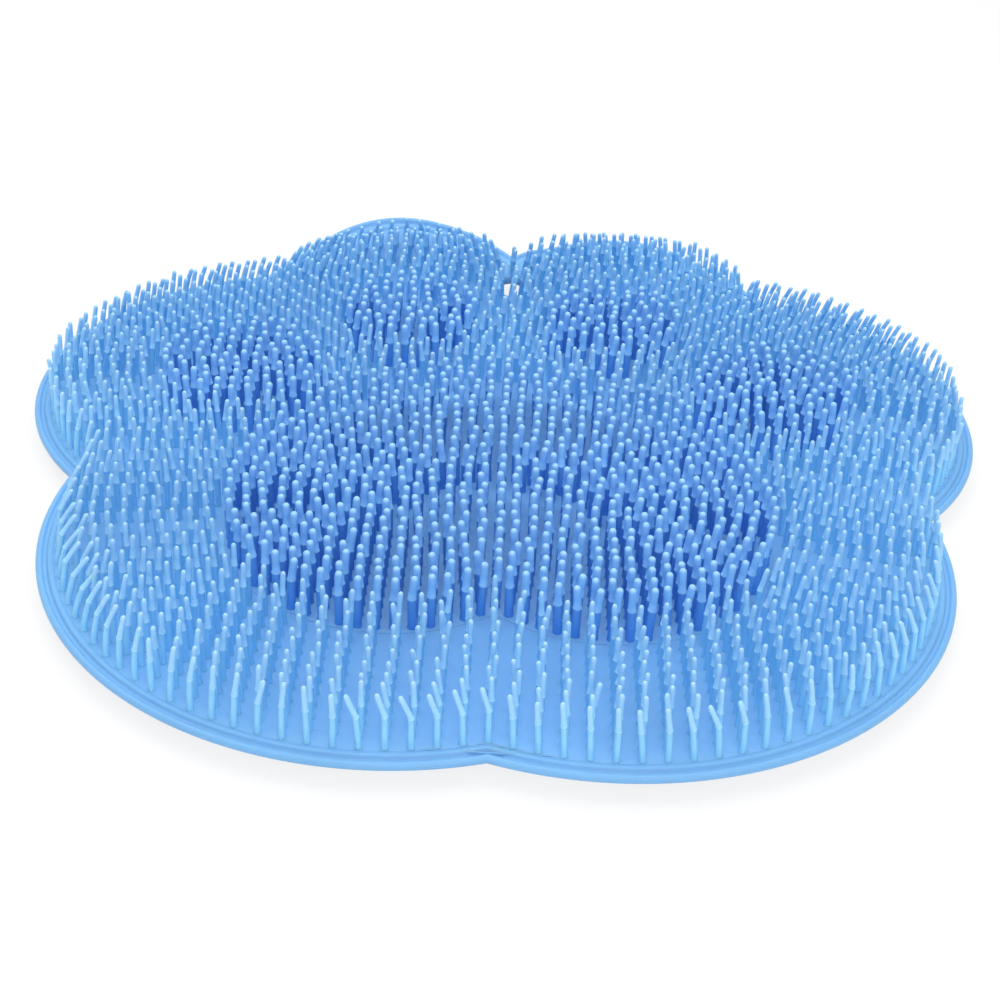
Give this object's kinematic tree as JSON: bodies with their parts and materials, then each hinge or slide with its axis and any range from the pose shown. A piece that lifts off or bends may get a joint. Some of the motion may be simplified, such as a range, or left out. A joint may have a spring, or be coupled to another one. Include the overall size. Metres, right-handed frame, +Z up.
{
  "type": "shower foot scrubber",
  "caption": "Moulded silicone shower mat with a lobed outline, rows of soft bristles, thicker bristle pads, suction cups underneath and a hanging hole.",
  "frame": {"origin": "centre of the mat's box on the resting plane, which is the plane of the suction cups' lips", "axes": "+Z up along the bristles, -Y towards the two large front lobes, +Y towards the hanging hole, +X to the right; the mat is mirror symmetric across X = 0"},
  "size_m": [0.3, 0.295, 0.0247],
  "materials": {
    "silicone": "satin"
  },
  "bodies": {
    "root": {"scrubber_mat": "silicone"}
  },
  "joints": []
}
